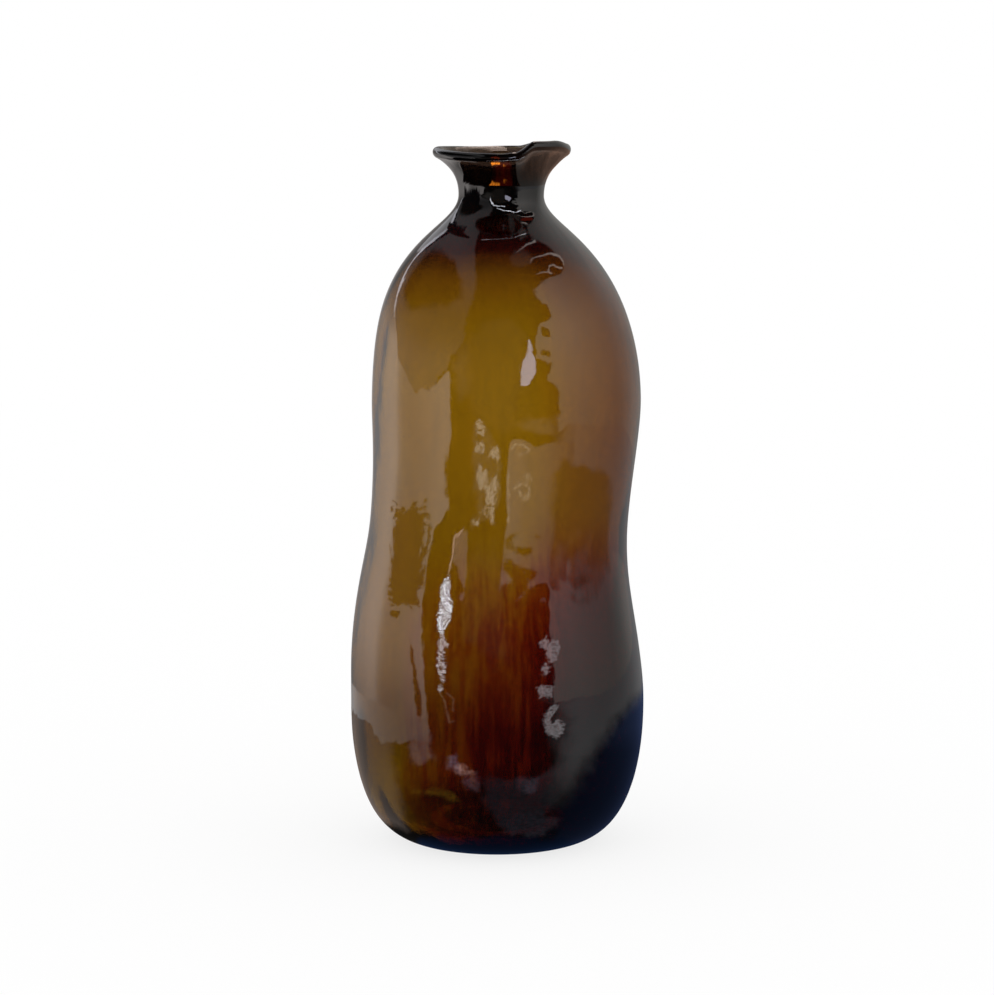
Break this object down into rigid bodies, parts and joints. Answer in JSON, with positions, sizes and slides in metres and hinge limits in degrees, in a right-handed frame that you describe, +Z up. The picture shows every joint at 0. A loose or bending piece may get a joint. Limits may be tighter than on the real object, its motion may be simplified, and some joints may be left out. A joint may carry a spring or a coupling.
{
  "type": "glass vase",
  "caption": "Tall mouth-blown glass bottle vase with a gently waisted body, rounded shoulders, a narrow throat and a flared, uneven, fire-polished lip.",
  "frame": {"origin": "centre of the foot, on the plane that the vase stands on", "axes": "+Z up through the mouth, -Y towards the viewer of the picture, +X to that viewer's right"},
  "size_m": [0.2128, 0.2128, 0.5109],
  "materials": {
    "amber_glass": "glossy, slightly wavy amber glass that darkens with thickness",
    "thick_amber_glass": "the same glass where it is thick, dark red-brown to black and glossy",
    "ground_glass": "matt, ground flat"
  },
  "bodies": {
    "root": {"pontil_mark": "ground_glass", "thick_base": "thick_amber_glass", "waisted_body": "amber_glass", "shoulder": "amber_glass", "flared_mouth": "thick_amber_glass"}
  },
  "joints": []
}
